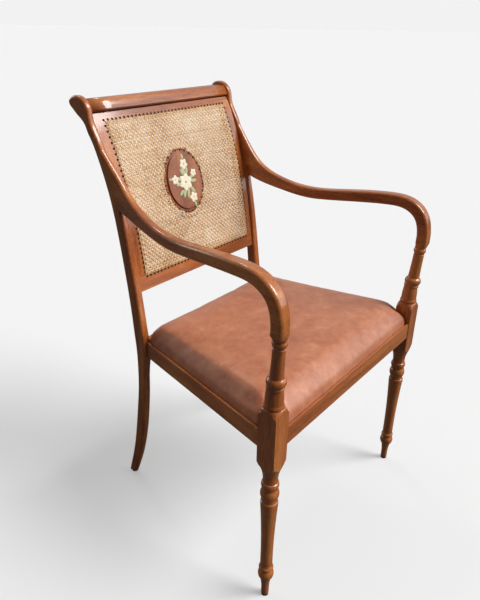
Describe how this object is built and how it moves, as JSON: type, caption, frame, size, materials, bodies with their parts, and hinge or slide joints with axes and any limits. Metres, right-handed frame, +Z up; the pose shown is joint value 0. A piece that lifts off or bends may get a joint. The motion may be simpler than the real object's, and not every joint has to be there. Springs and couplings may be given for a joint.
{
  "type": "armchair",
  "caption": "Open armchair with a caned scroll back, oval medallion, swept arms on turned supports, turned front legs, sabre rear legs and a lift-out leather seat.",
  "frame": {"origin": "on the floor, at the middle of the chair's overall width and length", "axes": "+Z up, the sitter faces -Y, +X to the right as seen from the front"},
  "size_m": [0.5438, 0.5462, 0.8669],
  "materials": {
    "varnished_wood": "polished varnish",
    "plain_wood": "bare planed",
    "cane": "woven natural cane",
    "painted_wood": "painted and varnished",
    "leather": "polished, mottled",
    "padding": "soft",
    "webbing": "woven jute",
    "dust_cloth": "thin woven",
    "steel": "plain",
    "glide": "dark"
  },
  "bodies": {
    "frame": {"arm_left": "varnished_wood", "arm_plugs": "varnished_wood", "arm_right": "varnished_wood", "arm_screws": "steel", "arm_support_left": "varnished_wood", "arm_support_right": "varnished_wood", "back_dowels": "plain_wood", "back_lower_rail": "varnished_wood", "back_stile_left": "varnished_wood", "back_stile_right": "varnished_wood", "back_upper_rail": "varnished_wood", "cane_panel": "cane", "corner_block_front_left": "plain_wood", "corner_block_front_right": "plain_wood", "corner_block_rear_left": "plain_wood", "corner_block_rear_right": "plain_wood", "corner_screws": "steel", "crest_rail": "varnished_wood", "foot_glides": "glide", "leg_front_left": "varnished_wood", "leg_front_right": "varnished_wood", "medallion_field": "painted_wood", "medallion_rim": "varnished_wood", "post_left": "varnished_wood", "post_right": "varnished_wood", "seat_rail_back": "varnished_wood", "seat_rail_front": "varnished_wood", "seat_rail_left": "varnished_wood", "seat_rail_right": "varnished_wood", "support_dowels": "plain_wood"},
    "seat": {"seat_cover": "leather", "seat_dust_cloth": "dust_cloth", "seat_foam": "padding", "seat_frame_back": "plain_wood", "seat_frame_dowels": "plain_wood", "seat_frame_front": "plain_wood", "seat_frame_left": "plain_wood", "seat_frame_right": "plain_wood", "seat_tacks": "steel", "seat_webbing_cross": "webbing", "seat_webbing_long": "webbing"}
  },
  "joints": [
    {"name": "seat_lift", "type": "slide", "parent": "frame", "child": "seat", "axis": [0, 0, 1], "range_m": [0, 0.1]}
  ]
}
